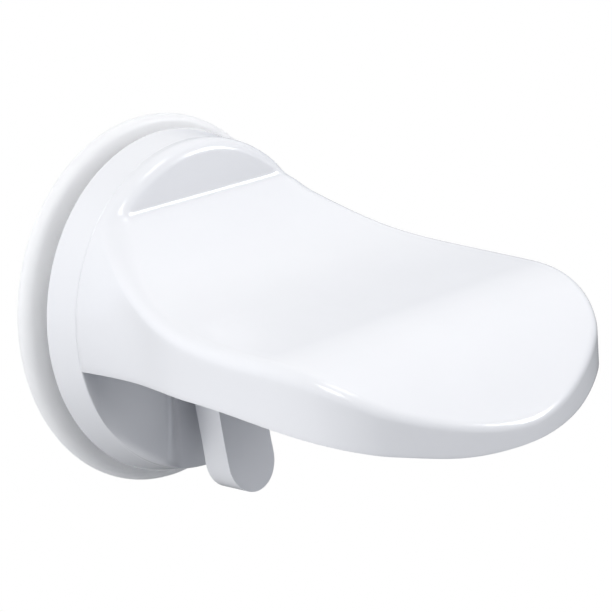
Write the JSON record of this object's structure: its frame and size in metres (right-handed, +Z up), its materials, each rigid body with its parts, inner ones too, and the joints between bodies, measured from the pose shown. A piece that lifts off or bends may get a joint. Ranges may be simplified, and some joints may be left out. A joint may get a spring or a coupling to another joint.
{
  "type": "suction foot rest",
  "caption": "Wall-mounted shower foot rest: a round suction cup with a flip lever under a curved step that rolls over at its tip.",
  "frame": {"origin": "centre of the suction cup's face, on the wall", "axes": "+X straight out of the wall towards the step's tip, +Y to the right of someone who faces the wall, +Z up"},
  "size_m": [0.1536, 0.131, 0.1201],
  "materials": {
    "gloss_white": "moulded white plastic, high gloss",
    "soft_white": "soft white moulded vinyl, satin",
    "stud_plastic": "stiff off-white plastic, satin",
    "steel": "stainless steel, fine brushed",
    "screw_steel": "zinc-plated steel"
  },
  "bodies": {
    "root": {"suction_cup": "soft_white", "base_housing": "gloss_white", "cam_plate": "steel", "foot_shell": "gloss_white", "underside_cover": "gloss_white", "base_screw_1": "screw_steel", "base_screw_2": "screw_steel", "base_screw_3": "screw_steel", "base_screw_4": "screw_steel", "cover_screw_1": "screw_steel", "cover_screw_2": "screw_steel", "cover_screw_3": "screw_steel", "cover_screw_4": "screw_steel", "cover_screw_5": "screw_steel", "cover_screw_6": "screw_steel", "cover_screw_7": "screw_steel", "cover_screw_8": "screw_steel"},
    "stem": {"cup_stud": "stud_plastic", "lever_pin": "steel"},
    "lever": {"lever": "gloss_white"}
  },
  "joints": [
    {"name": "stem_slide", "type": "slide", "parent": "root", "child": "stem", "axis": [1, 0, 0], "range_m": [-0.0031, 0], "deforming": ["suction_cup"]},
    {"name": "lever_hinge", "type": "hinge", "parent": "stem", "child": "lever", "pos_m": [0.0294, 0, 0], "axis": [0, -1, 0], "range_deg": [0, 80]}
  ],
  "couplings": [
    {"joint": "stem_slide", "follows": "lever_hinge", "m_per_rad": -0.0021486}
  ]
}
